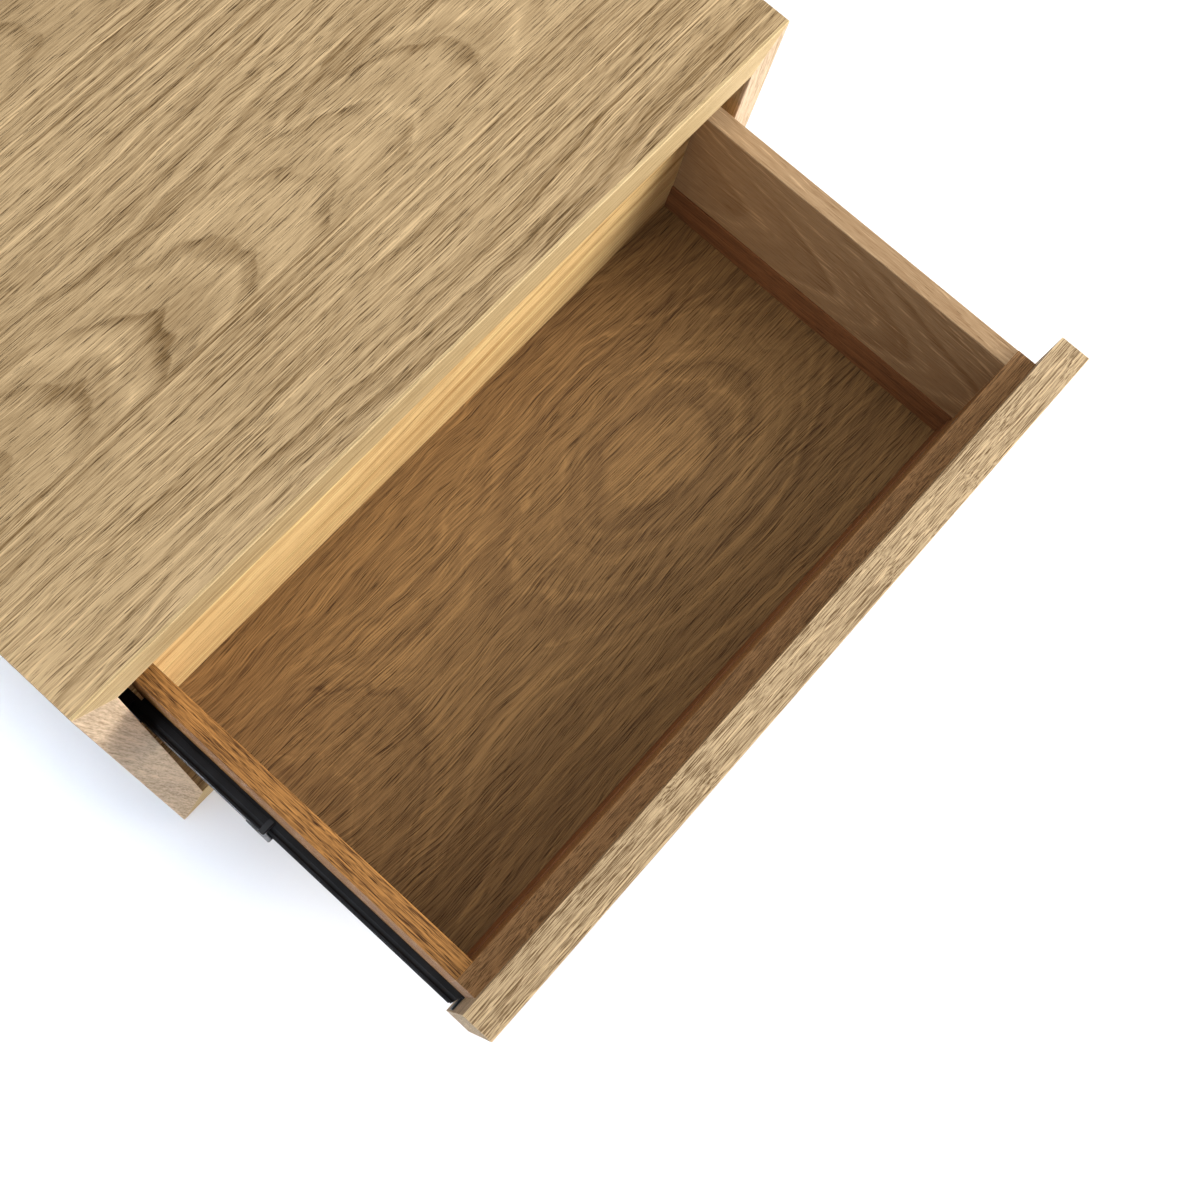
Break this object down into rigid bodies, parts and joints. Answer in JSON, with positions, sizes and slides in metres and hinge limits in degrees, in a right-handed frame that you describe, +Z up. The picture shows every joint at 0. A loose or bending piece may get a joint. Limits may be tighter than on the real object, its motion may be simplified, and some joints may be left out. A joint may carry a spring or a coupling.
{
  "type": "under desk drawer cabinet",
  "caption": "Low oak cabinet with mitred corners: a full-extension inset drawer on side ball-bearing runners above an open compartment.",
  "frame": {"origin": "centre of the cabinet's underside", "axes": "+Z up, +X to the right of someone facing the cabinet, -Y out of its front, the way the drawer opens"},
  "size_m": [0.55, 0.57, 0.36],
  "materials": {
    "oak_panel": "satin",
    "oak_lipping": "satin",
    "oak_front": "satin",
    "oak_box": "satin",
    "oak_bottom": "satin",
    "oak_back": "matte",
    "beech": "matte",
    "zinc_screws": "satin",
    "black_steel": "satin",
    "black_plastic": "gloss",
    "cage_steel": "satin",
    "ball_steel": "polished",
    "black_screws": "satin"
  },
  "bodies": {
    "carcass": {"top_panel": "oak_panel", "bottom_panel": "oak_panel", "left_panel": "oak_panel", "right_panel": "oak_panel", "top_lipping": "oak_lipping", "bottom_lipping": "oak_lipping", "left_lipping": "oak_lipping", "right_lipping": "oak_lipping", "top_left_spline": "beech", "top_right_spline": "beech", "bottom_left_spline": "beech", "bottom_right_spline": "beech", "back_panel": "oak_back", "back_screws": "zinc_screws", "left_cabinet_member": "black_steel", "left_rear_bumper": "black_plastic", "left_cabinet_screws": "black_screws", "right_cabinet_member": "black_steel", "right_rear_bumper": "black_plastic", "right_cabinet_screws": "black_screws"},
    "drawer": {"drawer_front": "oak_front", "sub_front": "oak_box", "left_drawer_side": "oak_box", "right_drawer_side": "oak_box", "drawer_back": "oak_box", "drawer_bottom": "oak_bottom", "left_slip": "oak_box", "right_slip": "oak_box", "front_slip": "oak_box", "front_screws": "zinc_screws", "front_dowels": "beech", "back_dowels": "beech", "bottom_screws": "zinc_screws", "left_drawer_member": "black_steel", "left_release_lever": "black_plastic", "left_drawer_screws": "black_screws", "right_drawer_member": "black_steel", "right_release_lever": "black_plastic", "right_drawer_screws": "black_screws"},
    "left_middle": {"left_middle_member": "black_steel", "left_middle_cap": "black_plastic"},
    "left_outer_cage_set": {"left_outer_cage": "cage_steel", "left_outer_balls": "ball_steel"},
    "left_inner_cage_set": {"left_inner_cage": "cage_steel", "left_inner_balls": "ball_steel"},
    "right_middle": {"right_middle_member": "black_steel", "right_middle_cap": "black_plastic"},
    "right_outer_cage_set": {"right_outer_cage": "cage_steel", "right_outer_balls": "ball_steel"},
    "right_inner_cage_set": {"right_inner_cage": "cage_steel", "right_inner_balls": "ball_steel"}
  },
  "joints": [
    {"name": "drawer_slide", "type": "slide", "parent": "carcass", "child": "drawer", "axis": [0, -1, 0], "range_m": [-0.25, 0]},
    {"name": "left_middle_slide", "type": "slide", "parent": "carcass", "child": "left_middle", "axis": [0, -1, 0], "range_m": [-0.125, 0]},
    {"name": "left_outer_cage_set_slide", "type": "slide", "parent": "carcass", "child": "left_outer_cage_set", "axis": [0, -1, 0], "range_m": [-0.0625, 0]},
    {"name": "left_inner_cage_set_slide", "type": "slide", "parent": "carcass", "child": "left_inner_cage_set", "axis": [0, -1, 0], "range_m": [-0.1875, 0]},
    {"name": "right_middle_slide", "type": "slide", "parent": "carcass", "child": "right_middle", "axis": [0, -1, 0], "range_m": [-0.125, 0]},
    {"name": "right_outer_cage_set_slide", "type": "slide", "parent": "carcass", "child": "right_outer_cage_set", "axis": [0, -1, 0], "range_m": [-0.0625, 0]},
    {"name": "right_inner_cage_set_slide", "type": "slide", "parent": "carcass", "child": "right_inner_cage_set", "axis": [0, -1, 0], "range_m": [-0.1875, 0]}
  ],
  "couplings": [
    {"joint": "left_middle_slide", "follows": "drawer_slide", "ratio": 0.5},
    {"joint": "left_outer_cage_set_slide", "follows": "drawer_slide", "ratio": 0.25},
    {"joint": "left_inner_cage_set_slide", "follows": "drawer_slide", "ratio": 0.75},
    {"joint": "right_middle_slide", "follows": "drawer_slide", "ratio": 0.5},
    {"joint": "right_outer_cage_set_slide", "follows": "drawer_slide", "ratio": 0.25},
    {"joint": "right_inner_cage_set_slide", "follows": "drawer_slide", "ratio": 0.75}
  ]
}
